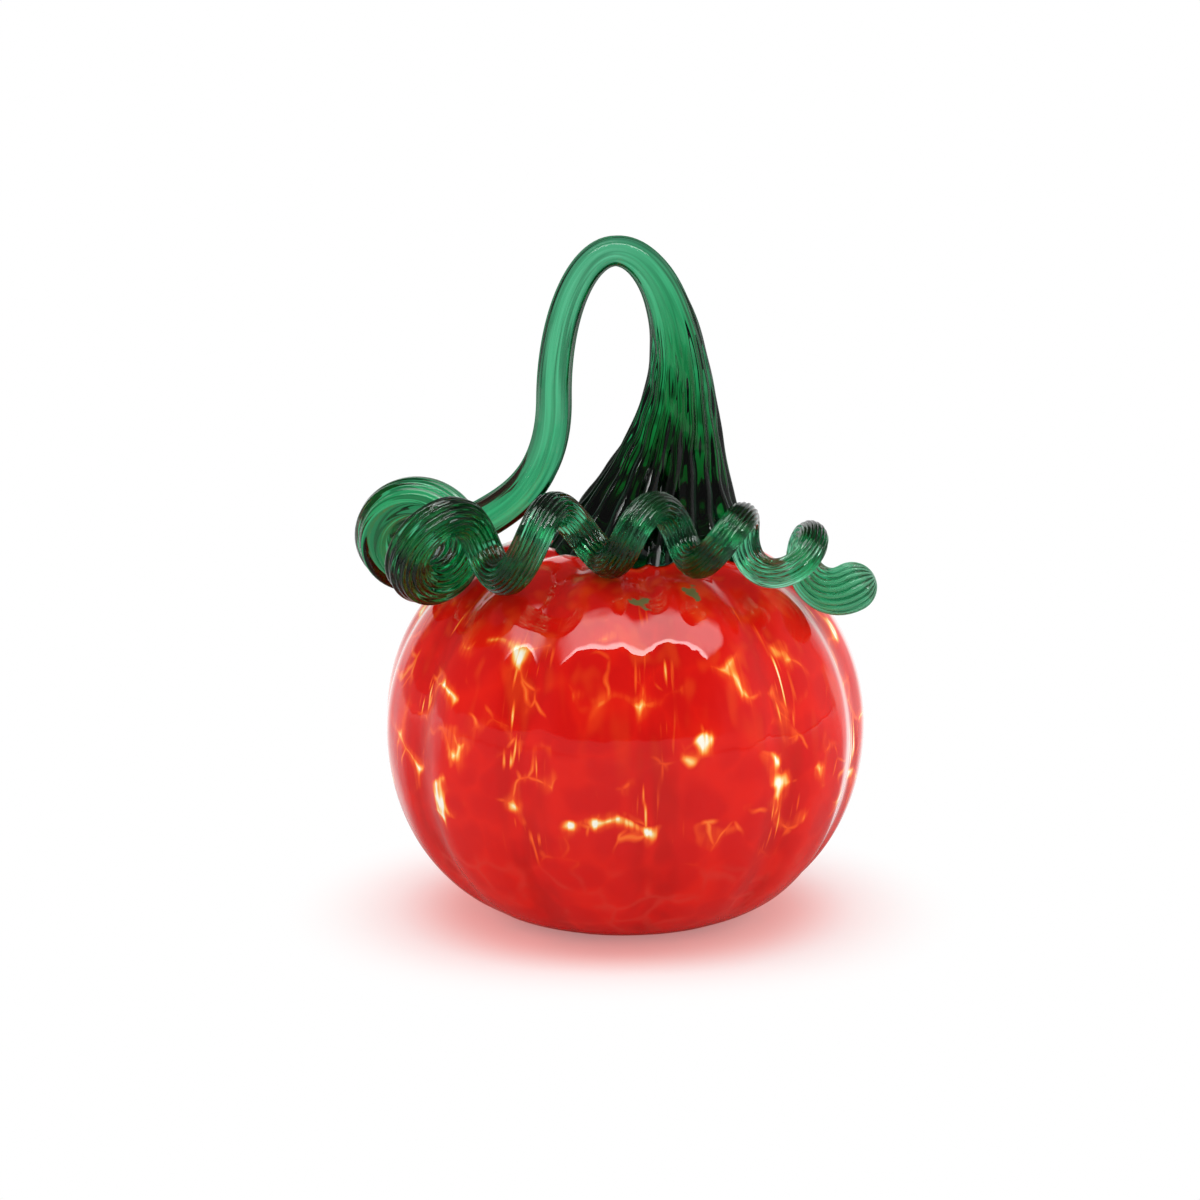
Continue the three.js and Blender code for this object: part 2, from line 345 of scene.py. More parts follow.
@dataclass(frozen=True)
class ChippedRedGlass:
    """Red chips of colour melted into a clear wall, with the light that shows through the gaps between them
    painted into the colour.
    """

    roughness: float = 0.012
    ior: float = 1.5
    relief: float = 0.2
    cast: Colour = (0.985, 0.78, 0.76)
    base_cast: Layer = Layer((0.80, 0.16, 0.12), (("height", (24.0, 5.0)),))

    chip_size: float = 8.8
    drift: Waves = Waves("drift", "place", 14.0)
    drift_reach: float = 11.0
    streak_radius: float = 55.0
    streak_stretch: float = 0.10
    waves: tuple[Waves, ...] = (
        Waves("skin", "place", 5.0, 1.0, (1.0, 1.0, 0.35)),
        Waves("clouds", "place", 13.0, 3.0),
        Waves("upright_mottle", "place", 5.0, 1.0, (1.0, 1.0, 0.2)),
        Waves("gaps", "place", 10.0, 1.0),
        Waves("bent_gaps", "bent", 10.0, 1.0),
        Waves("streaks", "meridian", 0.95, 0.0),
        Waves("showers", "place", 8.0, 0.0, (1.0, 1.0, 0.6)),
        Waves("ragged", "place", 2.5),
    )

    deep: Colour = (0.66, 0.005, 0.003)
    chip_shades: Range = (0.25, 0.85)
    chip_share: float = 0.5
    bright: Layer = Layer((0.76, 0.009, 0.003), (("shade", (0.45, 1.05)),))
    # Painted shade: a darker red laid into the creases between the lobes, broken up by upright noise.
    crease_shade: Layer = Layer((0.46, 0.003, 0.002), (("crease", (0.45, 0.95)), ("upright_mottle", (0.35, 0.65))), 0.5)
    glow: Colour = (0.92, 0.085, 0.010)
    # Painted glow: the colour of the light in the gaps, laid in upright patches over the upper part of the
    # body.
    upper_glow: Layer = Layer(glow, (("upright_mottle", (0.50, 0.72)), ("height", (40.0, 72.0))), 0.34)
    dull: Colour = (0.64, 0.07, 0.05)
    seam: Spans = (("border", (0.16, 0.0)), ("clouds", (0.42, 0.58)))
    seam_share: float = 0.25
    # Painted sheen: a pale colour laid where the wall turns away from the view, above the lowest part,
    # standing in for the reflection along its edges.
    rim_sheen: Layer = Layer((1.0, 0.74, 0.71), (("facing", (0.72, 0.95)), ("height", (18.0, 45.0))), 0.9)

    # Painted light: where the gaps are painted bright, and the colours that this light is painted in.
    lit_from: Range = (20.0, 36.0)
    lit_zone: Spans = (("height", lit_from), ("height", (92.0, 60.0)))
    knot_core: Range = (0.68, 0.97)
    knot_halo: Range = (0.34, 0.80)
    halo_share: float = 0.25
    knot_gaps: Range = (0.45, 0.60)
    knot_streaks: Range = (0.38, 0.62)
    knot_gain: Range = (0.35, 0.75)  # gain in a streak, and gain everywhere
    lines: Spans = (("border", (0.10, 0.0)), ("bent_gaps", (0.48, 0.66)))
    line_share: float = 0.34
    rain: Spans = (("streaks", (0.50, 0.88)), ("showers", (0.46, 0.66)), ("crease", (0.62, 0.95)))
    light_shares: Range = (0.02, 0.30)
    light_stops: Stops = (
        (0.0, glow),
        (0.25, glow),
        (0.45, (1.0, 0.34, 0.05)),
        (0.64, (1.0, 0.70, 0.26)),
        (0.84, (1.0, 0.96, 0.84)),
    )

    fleck: Colour = (0.08, 0.15, 0.07)
    rust: Layer = Layer((0.17, 0.13, 0.05), (("upright_mottle", (0.42, 0.58)),))
    flecks: tuple[Point, ...] = ((3.8, -38.2, 84.8), (15.9, -34.2, 86.0))
    fleck_ragged: float = 6.0
    fleck_edge: Range = (5.3, 4.3)

    def material(self) -> bpy.types.Material:
        """Makes the node material.

        Returns:
            The finished material.
        """
        material, sheet = node_material("chipped_red_glass")
        self._keep(sheet)
        bump = sheet.add("Bump", {"Height": "skin", "Strength": self.relief, "Distance": MM})
        glass = sheet.add("BsdfPrincipled", {
            "Base Color": self._colour(sheet),
            "Roughness": self.roughness,
            "IOR": self.ior,
            "Normal": bump.outputs["Normal"],
        })
        lit = sheet.with_cast(glass, sheet.laid(self.base_cast, self.cast))
        sheet.add("OutputMaterial", {"Surface": lit.outputs["Shader"]})
        return material

    def _keep(self, sheet: NodeSheet) -> None:
        """Keeps what the colour depends on: places in millimetres, the chips and the noises.

        Args:
            sheet: Node sheet of the material.
        """
        sheet.keep_glass()
        place = sheet.scaled(sheet.add("TexCoord").outputs["Object"], (1.0 / MM,) * 3)
        sheet.kept["place"] = place
        drift = sheet.vector("SUBTRACT", sheet.noise(self.drift, "Color"), NOISE_MIDDLE)
        bent = sheet.vector("ADD", place, sheet.scaled(drift, (self.drift_reach,) * 3))
        outward = sheet.vector("NORMALIZE", sheet.scaled(place, (1.0, 1.0, 0.0)))
        around = sheet.scaled(outward, (self.streak_radius, self.streak_radius, 0.0))
        upright = sheet.scaled(place, (0.0, 0.0, self.streak_stretch))
        chip = {"Vector": bent, "Scale": 1.0 / self.chip_size}
        sheet.kept.update(
            bent=bent,
            meridian=sheet.vector("ADD", around, upright),
            height=sheet.split(place)[2],
            crease=sheet.split("grain")[0],
            middle=sheet.add("TexVoronoi", chip).outputs["Distance"],
            border=sheet.add("TexVoronoi", chip, feature="DISTANCE_TO_EDGE").outputs["Distance"],
        )
        sheet.keep_noises(self.waves)

    def _colour(self, sheet: NodeSheet) -> Socket:
        """Lays the painted light in the gaps, a painted pale sheen along the edges and the green flecks over
        the red.

        Args:
            sheet: Node sheet of the material.

        Returns:
            The colour of the wall.
        """
        light = self._light(sheet)
        glow = sheet.ramp(light, self.light_stops)
        lit = sheet.blend(sheet.span(light, self.light_shares), self._red(sheet), glow)
        green = sheet.laid(self.rust, self.fleck)
        return sheet.blend(self._flecked(sheet), sheet.laid(self.rim_sheen, lit), green)

    def _red(self, sheet: NodeSheet) -> Socket:
        """Shades the red: clouded chips, painted shade in the creases, a painted warm glow on the upper part
        and dull seams below.

        Args:
            sheet: Node sheet of the material.

        Returns:
            The red without the light in it.
        """
        chips = sheet.span("middle", self.chip_shades)
        sheet.kept["shade"] = sheet.math("MULTIPLY_ADD", chips, self.chip_share, "clouds")
        red = self.deep
        for layer in (self.bright, self.crease_shade, self.upper_glow):
            red = sheet.laid(layer, red)
        below = sheet.math("SUBTRACT", self.seam_share, sheet.span("height", self.lit_from))
        seam = sheet.product(sheet.within(self.seam), sheet.largest(below, 0.0))
        return sheet.blend(seam, red, self.dull)

    def _light(self, sheet: NodeSheet) -> Socket:
        """Paints the light in the gaps as colour: knots where chips meet, lines between them and fine upright
        rain.

        Args:
            sheet: Node sheet of the material.

        Returns:
            Strength of the light, from 0 to about 1.
        """
        halo = sheet.product(sheet.span("middle", self.knot_halo), self.halo_share)
        knots = sheet.product(
            sheet.math("ADD", sheet.span("middle", self.knot_core), halo),
            sheet.span("gaps", self.knot_gaps),
            sheet.math("MULTIPLY_ADD", sheet.span("streaks", self.knot_streaks), *self.knot_gain),
        )
        lines = sheet.within(self.lines, self.line_share)
        light = sheet.largest(knots, lines, sheet.within(self.rain))
        return sheet.product(light, sheet.within(self.lit_zone))

    def _flecked(self, sheet: NodeSheet) -> Socket:
        """Scatters the ragged flecks of green that the stem left on the shoulder.

        Args:
            sheet: Node sheet of the material.

        Returns:
            Share of green.
        """
        shares = []
        for spot in self.flecks:
            away = sheet.vector("DISTANCE", "place", spot, output="Value")
            edge = sheet.math("MULTIPLY_ADD", "ragged", self.fleck_ragged, away)
            shares.append(sheet.span(edge, self.fleck_edge))
        return sheet.largest(*shares)


@dataclass(frozen=True)
class EmeraldGlass:
    """Clear green glass whose colour deepens with its thickness.

    Spans named along are lengths along the rod, from the foot to the bulb.
    """

    tint: Colour = (0.0, 0.725, 0.45)
    density: float = 310.0
    roughness: float = 0.0
    ior: float = 1.52
    cast: Colour = (0.25, 0.62, 0.42)
    # Painted shade: the glass's colour runs from white where it faces the view to near-black green at its
    # edges; along much of the rod it is blended towards the pale colour.
    facing: Stops = (
        (0.0, (1.0, 1.0, 1.0)),
        (0.14, (0.95, 0.97, 0.96)),
        (0.27, (0.46, 0.58, 0.52)),
        (0.44, (0.07, 0.13, 0.10)),
        (0.66, (0.015, 0.035, 0.025)),
        (1.0, (0.015, 0.035, 0.025)),
    )
    pale: Colour = (0.90, 0.95, 0.92)
    thin: Spans = (("along", (250.0, 460.0)),)
    thin_share: float = 0.85
    turned: Spans = (("along", (128.0, 185.0)), ("along", (250.0, 222.0)))
    turn_share: float = 0.75

    # Painted shade: a dark diffuse green mixed over the glass towards its edges on the foot, stem and loop, a
    # less dark green on the loop.
    edge: Colour = (0.018, 0.034, 0.024)
    loop_edge_shade: Layer = Layer((0.026, 0.16, 0.075), (("along", (50.0, 90.0)),))
    rim: Spans = (("facing", (0.52, 0.80)), ("along", (190.0, 165.0)))
    # Diffuse stand-in for the glass of the end bulb, with painted shade darkening the grooves between its
    # ribs.
    bulb: Colour = (0.17, 0.56, 0.33)
    bulb_groove_shade: Layer = Layer((0.015, 0.10, 0.05), (("crests", (0.6, -1.0)),))
    bulb_colour: Range = (300.0, 400.0)  # lengths along the rod
    bulb_end: Spans = (("along", (466.0, 494.0)),)
    bulb_share: float = 0.44
    ribs: int = RIB_COUNT

    # Painted shade: a darker green laid in streaks, standing in for the dark bands that refraction draws in
    # the glass.
    streak: Colour = (0.03, 0.13, 0.08)
    streak_share: float = 0.85
    waves: tuple[Waves, ...] = (
        Waves("short_waves", "grain", 0.46, 1.0, (1.0, 1.0, 0.055)),
        Waves("long_waves", "grain", 0.28, 2.0, (1.0, 1.0, 0.005)),
        Waves("broad_waves", "grain", 0.5, 1.0, (1.0, 1.0, 0.006)),
    )
    dabs: Spans = (("short_waves", (0.49, 0.59)), ("along", (64.0, 42.0)))
    bands: Spans = (("long_waves", (0.44, 0.60)), ("along", (230.0, 170.0)))
    leg: Spans = (("along", (80.0, 112.0)), ("along", (148.0, 116.0)))
    leg_gain: Range = (0.5, 0.5)  # gain on the leg, and gain everywhere
    first_turn_streaks: Spans = (("broad_waves", (0.57, 0.61)), ("along", (165.0, 205.0)), ("along", (330.0, 240.0)))

    def material(self) -> bpy.types.Material:
        """Makes the node material.

        Returns:
            The finished material.
        """
        material, sheet = node_material("emerald_glass")
        sheet.keep_glass()
        x, y, along = sheet.split("grain")
        turn = sheet.math("ARCTAN2", y, x)
        sheet.kept.update(along=along, crests=sheet.math("COSINE", sheet.product(turn, float(self.ribs))))
        sheet.keep_noises(self.waves)
        thin = sheet.within(self.thin, self.thin_share)
        thin = sheet.math("MULTIPLY_ADD", sheet.within(self.turned), self.turn_share, thin)
        clear = sheet.blend(thin, sheet.ramp("facing", self.facing), self.pale)
        glass = sheet.add("BsdfPrincipled", {
            "Base Color": sheet.blend(self._streaks(sheet), clear, self.streak),
            "Roughness": self.roughness,
            "IOR": self.ior,
            "Transmission Weight": 1.0,
        })
        # Diffuse colours mixed over the glass: painted edge shade up to the loop, and the bulb's diffuse
        # colour with painted shade in its grooves.
        loop, bulb = sheet.laid(self.loop_edge_shade, self.edge), sheet.laid(self.bulb_groove_shade, self.bulb)
        edge_shade_and_bulb = sheet.blend(sheet.span("along", self.bulb_colour), loop, bulb)
        plain = sheet.add("BsdfDiffuse", {"Color": edge_shade_and_bulb})
        share = sheet.largest(sheet.within(self.rim), sheet.within(self.bulb_end, self.bulb_share))
        lit = sheet.with_cast(sheet.mixed(share, glass, plain), self.cast)
        depth = sheet.add("VolumeAbsorption", {"Color": self.tint, "Density": self.density})
        sheet.add("OutputMaterial", {"Surface": lit.outputs["Shader"], "Volume": depth.outputs["Volume"]})
        return material

    def _streaks(self, sheet: NodeSheet) -> Socket:
        """Paints darker streaks that stand in for the shade that refraction draws in the glass: dabs on the
        foot, bands along the loop and streaks on the first turns.

        Args:
            sheet: Node sheet of the material.

        Returns:
            Share of the dark streaks.
        """
        gain = sheet.math("MULTIPLY_ADD", sheet.within(self.leg), *self.leg_gain)
        bands = sheet.product(sheet.within(self.bands), gain)
        streaks = sheet.largest(bands, sheet.within(self.dabs), sheet.within(self.first_turn_streaks))
        return sheet.product(streaks, self.streak_share)


@dataclass(frozen=True)
class BodyForm:
    """Lobed form that the body is blown to."""

    radius: float = 58.3
    equator: float = 47.0
    shoulder_rise: float = 44.0
    crest_radius: float = 20.0
    base_radius: float = 19.0
    neck_radius: float = 9.0
    neck_sink: float = 4.0
    lobes: int = 12
    crease_depth: float = 1.4
    crease_power: float = 2.5
    crease_turn: float = math.radians(8.0)
    crease_fade: float = 16.0
    crease_drift: float = math.radians(5.0)
    crease_still: float = math.radians(10.0)
    samples: int = 200

    @property
    def crest(self) -> float:
        """Height of the ring where the body is tallest."""
        return self.equator + self.shoulder_rise

    @property
    def middle(self) -> Array:
        """Point on the axis at the height of the equator."""
        return self.equator * UP

    def outline(self, inset: float, foot: float, count: int) -> Array:
        """Draws one face of the wall as radius and height, from the foot of the bulge to the neck.

        Args:
            inset: Depth of the face below the outside of the wall.
            foot: Height of the face at the base.
            count: Points along each of its three curves.

        Returns:
            Radius and height of each point.
        """
        widest = self.radius - inset
        crest = self.crest - inset
        rim = crest - self.neck_sink
        dip = (self.crest_radius - self.neck_radius) / 2
        near, far = 1 - QUARTER_ELLIPSE, QUARTER_ELLIPSE
        belly = bezier([
            (self.base_radius, foot),
            (near * self.base_radius + far * widest, foot),
            (widest, near * self.equator + far * foot),
            (widest, self.equator),
        ], count)
        shoulder = bezier([
            (widest, self.equator),
            (widest, near * self.equator + far * crest),
            (near * self.crest_radius + far * widest, crest),
            (self.crest_radius, crest),
        ], count)
        neck = bezier([
            (self.crest_radius, crest),
            (self.crest_radius - dip, crest),
            (self.neck_radius + dip, rim),
            (self.neck_radius, rim),
        ], count)
        return np.vstack([belly[:-1], shoulder[:-1], neck])

    def crease(self, points: Array) -> Array:
        """Tells how near points are to a crease between two lobes.

        Args:
            points: Points of the form.

        Returns:
            Nearness, from 0 between two creases to 1 in one.
        """
        turn = np.arctan2(points[..., 0], -points[..., 1])
        near = turn - self.crease_drift * np.sin(turn - self.crease_still)
        even = turn - self.crease_drift * np.sin(near - self.crease_still)
        return np.cos(self.lobes * (even - self.crease_turn) / 2) ** 2

    def shrink(self, points: Array) -> Array:
        """Gives the factor by which the creases draw points in towards the middle of the body."""
        depth = self.crease_depth * self.crease(points) ** self.crease_power
        return 1 - depth * smoothstep(points[..., 2], 0.0, self.crease_fade) / self.radius

    def pressed(self, points: Array) -> Array:
        """Presses the creases into points of the round form."""
        return self.middle + (points - self.middle) * self.shrink(points)[..., None]

    def surface(self, points: Array, gap: float) -> Array:
        """Moves points in or out until they lie over the outside of the wall.

        Args:
            points: Points above the base.
            gap: Distance over the wall.

        Returns:
            The moved points.
        """
        outside = self.outline(0.0, 0.0, self.samples)
        rise = np.arctan2(outside[:, 1] - self.equator, outside[:, 0])
        reach = np.hypot(outside[:, 1] - self.equator, outside[:, 0])
        spokes = unit(points - self.middle)
        angle = np.arctan2(spokes[..., 2], np.hypot(spokes[..., 0], spokes[..., 1]))
        round_reach = np.interp(angle, rise, reach)
        on_round = self.middle + spokes * round_reach[..., None]
        return self.middle + spokes * (round_reach * self.shrink(on_round) + gap)[..., None]


@dataclass
class PumpkinBody:
    """Hollow red body."""

    form: BodyForm = field(default_factory=BodyForm)
    finish: ChippedRedGlass = field(default_factory=ChippedRedGlass)
    wall: float = 3.6
    base_wall: float = 6.0
    columns: int = 360
    steps: int = 56
    inside_steps: int = 20
    sharp: float = math.radians(60.0)

    def build(self) -> bpy.types.Object:
        """Turns the wall's outline round the axis and presses the lobes into it.

        Returns:
            The body, dressed.
        """
        outside = self.form.outline(0.0, 0.0, self.steps)
        inside = self.form.outline(self.wall, self.base_wall, self.inside_steps)[::-1]
        outline = np.vstack([outside, inside])
        turn = np.linspace(0.0, 2 * np.pi, self.columns, endpoint=False)
        around = np.stack([np.cos(turn), np.sin(turn)], axis=-1)
        flat = outline[:, None, :1] * around[None]
        height = np.broadcast_to(outline[:, None, 1:], flat.shape[:2] + (1,))
        rings = self.form.pressed(np.concatenate([flat, height], axis=-1))
        grain = np.repeat(self.form.crease(rings)[..., None], 3, axis=-1)
        piece = loft("red_body", rings, (0.0 * UP, self.base_wall * UP), self.sharp, grain)
        self.dress(piece)
        return piece

    def dress(self, piece: bpy.types.Object) -> None:
        """Gives the body its finish and its place in the frame.

        Args:
            piece: The body.
        """
        piece.data.materials.append(self.finish.material())
        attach(piece, ROOT)
        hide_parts(Solid.BODY.value)


@dataclass
class Rail:
    """Middle line of the green rod with the frames and radii along it."""

    points: Array
    radii: Array
    crown_index: int
    coil_index: int
    along: Array = field(init=False)
    ahead: Array = field(init=False)
    sides: Array = field(init=False)
    tops: Array = field(init=False)

    def __post_init__(self) -> None:
        """Carries a side direction along the line without turning it about the line."""
        self.along = lengths_along(self.points)
        self.ahead = unit(np.gradient(self.points, self.along, axis=0))
        side = ACROSS
        sides = []
        for direction in self.ahead:
            side = unit(side - direction * (side @ direction))
            sides.append(side)
        self.sides = np.array(sides)
        self.tops = np.cross(self.ahead, self.sides)

    @property
    def at_crown(self) -> float:
        """Length along the line at the top of the loop."""
        return self.along[self.crown_index]

    @property
    def at_coil(self) -> float:
        """Length along the line at which the coil begins."""
        return self.along[self.coil_index]

    def read(self, values: Array, along: Array) -> Array:
        """Reads vectors kept along the line at other places on it.

        Args:
            values: Vectors at the line's own points.
            along: Lengths along the line.

        Returns:
            One vector for each length.
        """
        parts = [np.interp(along, self.along, values[:, axis]) for axis in range(3)]
        return np.stack(parts, axis=-1)


@dataclass
class GreenGather:
    """Green gather: the flared foot, the stem pulled into a loop, and the corkscrew tendril."""

    form: BodyForm = field(default_factory=BodyForm)
    finish: EmeraldGlass = field(default_factory=EmeraldGlass)
    seat_gap: float = 0.3
    plug_depth: float = 2.2
    plug_radius: float = 8.3
    foot_offset: float = 8.2
    foot_radius: float = 24.5
    foot_length: float = 46.0
    stem_taper: float = 6.0
    flare: float = 3.2
    crown_radius: float = 3.6
    crown_rise: float = 70.6
    crown_offset: float = -2.0
    flank_offset: float = 13.2
    flank_share: float = 0.44
    leg_offset: float = -16.8
    leg_share: float = 0.5
    leg_sweep: float = 0.75
    leg_reach: float = 12.0
    rod_radius: float = 5.0
    rod_end_radius: float = 3.3
    rod_swell: float = 0.7
    swell_middle: float = 0.2
    swell_reach: float = 0.2
    tip_radius: float = 6.0
    tip_swell: float = 0.07
    coil_radius: float = 10.3
    coil_end_radius: float = 5.6
    coil_taper: float = 2.4
    coil_turns: float = 6.28
    coil_start: float = math.radians(130.0)
    coil_pass: Point = (0.0, -33.039, 99.803)
    coil_run: tuple[Point, ...] = (  # stations in body radii from the pass
        (-0.885, 0.62, -0.082),
        (-0.7, 0.012, -0.07),
        (-0.07, 0.0, 0.0),
        (0.47, -0.01, -0.034),
        (0.89, 0.322, -0.211),
    )

    ribs: int = RIB_COUNT
    rib_columns: int = 8
    rib_power: float = 1.5
    foot_rib: float = 0.11
    loop_rib: float = 0.008
    coil_rib: float = 0.085
    rib_leaving: Range = (0.12, 0.95)  # shares of the length up to the crown
    rib_coming: Range = (20.0, 85.0)  # lengths behind the start of the coil
    band: float = 0.022
    turn_band: float = 0.075
    coil_band: float = 0.006
    band_lengths: Range = (60.0, 160.0)
    band_counts: tuple[int, int] = (4, 10)
    band_turning: Range = (3.6, 4.3)  # in lengths of the foot, as the next two
    band_fading: Range = (5.2, 6.4)
    dent_fading: Range = (2.0, 0.9)
    dent: float = 0.022
    dent_lengths: Range = (9.0, 24.0)
    dent_counts: tuple[int, int] = (4, 12)
    waves: int = 12
    phases: Range = (0.0, 6.3)
    seed: int = 11

    step: float = 0.9
    coil_samples: int = 4000
    loop_samples: int = 400
    rim_samples: int = 500
    foot_steps: int = 48
    foot_crowding: float = 1.5
    under_steps: int = 28
    tip_steps: int = 14
    run_nudge: float = 1e-4
    sharp: float = math.radians(50.0)

    @property
    def crown(self) -> float:
        """Height of the rod's middle at the top of the loop."""
        return self.form.crest + self.crown_rise

    @property
    def turns(self) -> Array:
        """Angles of the columns round the rod."""
        return np.linspace(0.0, 2 * np.pi, self.ribs * self.rib_columns, endpoint=False)

    def _run(self, share: Array) -> Array:
        """Samples the line that the coil winds round.

        Args:
            share: Shares of the coil's turns.

        Returns:
            Points of the line.
        """
        stations = np.array(self.coil_run) * self.form.radius + np.array(self.coil_pass)
        before = 2 * stations[0] - stations[1]
        behind = 2 * stations[-1] - stations[-2]
        knots = np.vstack([before, stations, behind])
        last = len(stations) - 2
        index = np.clip((share * (last + 1)).astype(int), 0, last)
        u = (share * (last + 1) - index)[:, None]
        p0, p1, p2, p3 = (knots[index + shift] for shift in range(4))
        leave, arrive = (p2 - p0) / 2, (p3 - p1) / 2
        blend = 3 * u**2 - 2 * u**3
        return p1 + blend * (p2 - p1) + (u**3 - 2 * u**2 + u) * leave + (u**3 - u**2) * arrive

    def _coil(self) -> Array:
        """Winds the coil round its run.

        Returns:
            Points of the coil's middle line.
        """
        share = np.linspace(0.0, 1.0, self.coil_samples)
        after, before = np.minimum(share + self.run_nudge, 1.0), np.maximum(share - self.run_nudge, 0.0)
        along = unit(self._run(after) - self._run(before))
        top = unit(UP - along * along[:, 2:])
        side = np.cross(top, along)
        angle = (self.coil_start + 2 * np.pi * self.coil_turns * share)[:, None]
        closing = (1 - share[:, None]) ** self.coil_taper
        radius = self.coil_end_radius + (self.coil_radius - self.coil_end_radius) * closing
        return self._run(share) + radius * (np.cos(angle) * top + np.sin(angle) * side)

    def _loop(self, end: Array, onward: Array) -> tuple[Array, Array]:
        """Draws the middle line of the stem up to the coil.

        Args:
            end: First point of the coil.
            onward: Direction in which the coil sets off.

        Returns:
            Points up to the crown, and points from the crown to the coil.
        """
        far = QUARTER_ELLIPSE
        foot = self.form.crest - self.form.neck_sink - 2 * self.plug_depth
        start = np.array([self.foot_offset, 0.0, foot])
        flank = np.array([self.flank_offset, 0.0, self.crown - self.flank_share * self.crown_rise])
        crown = np.array([self.crown_offset, 0.0, self.crown])
        leg = np.array([self.leg_offset, 0.0, self.crown - self.leg_share * self.crown_rise])
        third = (flank[2] - start[2]) / 3 * UP
        curves = [
            [start, start + third, flank - third, flank],
            [flank, flank + far * (crown - flank)[2] * UP, crown + far * (flank - crown)[0] * ACROSS, crown],
            [crown, crown + far * (leg - crown)[0] * ACROSS, leg + far * (crown - leg)[2] * UP, leg],
            [leg, leg + self.leg_sweep * (end - leg)[2] * UP, end - self.leg_reach * onward, end],
        ]
        up, over, down, into = (bezier(curve, self.loop_samples) for curve in curves)
        return np.vstack([up[:-1], over]), np.vstack([down[:-1], into])

    def _evenly(self, points: Array) -> Array:
        """Spaces points evenly along the line that they lie on.

        Args:
            points: Points of the line.

        Returns:
            Points about one step apart.
        """
        along = lengths_along(points)
        even = np.linspace(0.0, along[-1], int(along[-1] / self.step) + 1)
        return np.stack([np.interp(even, along, points[:, axis]) for axis in range(3)], axis=-1)

    def _rail(self) -> Rail:
        """Joins the stem and the coil into one line with its radii.

        Returns:
            The line.
        """
        coil = self._coil()
        rising, falling = self._loop(coil[0], unit(coil[1] - coil[0]))
        parts = [self._evenly(part) for part in (rising, falling, coil)]
        shares = [np.linspace(0.0, 1.0, len(part)) for part in parts]
        height = rising[0, 2] + shares[0] * (self.crown - rising[0, 2])
        below = (self.crown - height) / self.crown_rise
        flared = self.foot_radius - self.crown_radius - self.stem_taper
        up = self.crown_radius + self.stem_taper * below + flared * below**self.flare
        down = self.crown_radius + (self.rod_radius - self.crown_radius) * shares[1]
        away = np.minimum(np.abs(shares[2] - self.swell_middle) / self.swell_reach, 1.0)
        swell = self.rod_swell * (1 - away**2) ** 2
        bulb = (self.tip_radius - self.rod_end_radius) * smoothstep(shares[2], 1 - self.tip_swell, 1.0)
        wound = self.rod_radius + (self.rod_end_radius - self.rod_radius) * shares[2] + swell + bulb
        points = np.vstack([parts[0][:-1], parts[1][:-1], parts[2]])
        radii = np.concatenate([up[:-1], down[:-1], wound])
        crown = len(parts[0]) - 1
        return Rail(points, radii, crown, crown + len(parts[1]) - 1)

    def _depth(self, rail: Rail, along: Array) -> Array:
        """Fades the ribs out towards the crown and in again on the coil.

        Args:
            rail: Middle line of the rod.
            along: Lengths along it.

        Returns:
            Depth of the ribs as a share of the radius.
        """
        leaving = smoothstep(along, *(share * rail.at_crown for share in self.rib_leaving))
        coming = smoothstep(along, *(rail.at_coil + behind for behind in self.rib_coming))
        loop = self.foot_rib + (self.loop_rib - self.foot_rib) * leaving
        return loop + (self.coil_rib - self.loop_rib) * coming

    def _skin(self, rail: Rail, along: Array, inner: float = 1.0) -> Array:
        """Places points on the skin of the ribbed rod.

        Args:
            rail: Middle line of the rod.
            along: Lengths along it, with one column for each angle about it.
            inner: Share of the radius at which the points lie.

        Returns:
            Points of the skin.
        """
        turn = np.broadcast_to(self.turns, along.shape)
        hollow = ((1 - np.cos(self.ribs * turn)) / 2) ** self.rib_power
        radius = np.interp(along, rail.along, rail.radii) * (1 - self._depth(rail, along) * hollow)
        radius = radius * (1 + self._unevenness(along, turn)) * inner
        side, top = rail.read(rail.sides, along), rail.read(rail.tops, along)
        out = np.cos(turn)[..., None] * side + np.sin(turn)[..., None] * top
        return rail.read(rail.points, along) + radius[..., None] * out

    def _eased(self, along: Array, reach: Range) -> Array:
        """Eases along the rod between two places that are given in lengths of the foot."""
        return smoothstep(along, reach[0] * self.foot_length, reach[1] * self.foot_length)

    def _unevenness(self, along: Array, turn: Array) -> Array:
        """Adds up the long bands and the dents that hand work leaves in the skin.

        Args:
            along: Lengths along the rod.
            turn: Angles about it.

        Returns:
            Growth of the radius as a share of it.
        """
        chance = np.random.default_rng(self.seed)
        bands = self._ripples(chance, self.band_lengths, self.band_counts, along, turn)
        dents = self._ripples(chance, self.dent_lengths, self.dent_counts, along, turn)
        band = self.band + (self.turn_band - self.band) * self._eased(along, self.band_turning)
        band = band + (self.coil_band - self.turn_band) * self._eased(along, self.band_fading)
        return band * bands + self.dent * self._eased(along, self.dent_fading) * dents

    def _ripples(
        self, chance: np.random.Generator, lengths: Range, counts: tuple[int, int], along: Array, turn: Array
    ) -> Array:
        """Adds up waves of the skin.

        Args:
            chance: Source of the waves.
            lengths: Least and greatest length of a wave along the rod.
            counts: Least number of waves around the rod, and the number that it stays below.
            along: Lengths along the rod.
            turn: Angles about it.

        Returns:
            Sum of the waves, about one high.
        """
        total = np.zeros(np.broadcast(along, turn).shape)
        drawn = chance.uniform(*lengths, self.waves), chance.uniform(*self.phases, self.waves)
        for length, phase in zip(*drawn):
            total = total + np.sin(2 * np.pi * along / length + chance.integers(*counts) * turn + phase)
        return total / math.sqrt(self.waves)

